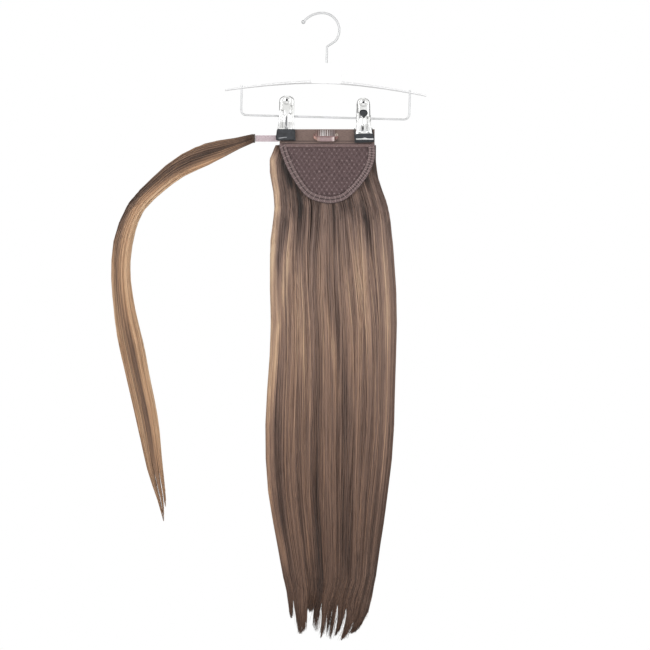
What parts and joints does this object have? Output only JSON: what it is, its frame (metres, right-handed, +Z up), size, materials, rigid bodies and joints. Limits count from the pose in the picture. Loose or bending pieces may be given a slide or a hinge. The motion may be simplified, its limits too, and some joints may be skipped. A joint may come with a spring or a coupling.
{
  "type": "ponytail hairpiece on a clip hanger",
  "caption": "Long straight wrap-around ponytail hairpiece with a net cap and snap comb, held by the clips of a thin wire hanger.",
  "frame": {"origin": "the inner top of the hanger's hook, where the whole thing hangs on a rail or peg", "axes": "+Z up, +X to the right of someone who faces the net cap, -Y towards them"},
  "size_m": [0.3482, 0.0304, 0.692],
  "materials": {
    "chromed_wire": "bright",
    "white_coating": "satin",
    "clip_steel": "bright",
    "black_rubber": "satin",
    "band_ribbon": "ribbed",
    "comb_steel": "bright",
    "pink_silicone": "satin",
    "cap_net": "open net",
    "cap_binding": "corded",
    "tail_hair": "hair",
    "strand_hair": "hair",
    "root_hair": "hair",
    "lilac_tape": "looped"
  },
  "bodies": {
    "root": {"hanger_hook": "chromed_wire", "hanger_bar": "white_coating", "hanger_rail": "chromed_wire", "left_clip_front_arm": "clip_steel", "left_clip_back_arm": "clip_steel", "left_clip_spring": "clip_steel", "left_clip_front_pad": "black_rubber", "left_clip_back_pad": "black_rubber", "right_clip_front_arm": "clip_steel", "right_clip_back_arm": "clip_steel", "right_clip_spring": "clip_steel", "right_clip_front_pad": "black_rubber", "right_clip_back_pad": "black_rubber", "top_band": "band_ribbon", "snap_comb": "comb_steel", "snap_bow": "comb_steel", "snap_sleeve": "pink_silicone", "cap_net": "cap_net", "cap_binding": "cap_binding", "hair_tail": "tail_hair", "wrap_tape": "lilac_tape", "wrap_cuff": "root_hair", "wrap_strand": "strand_hair"}
  },
  "joints": []
}
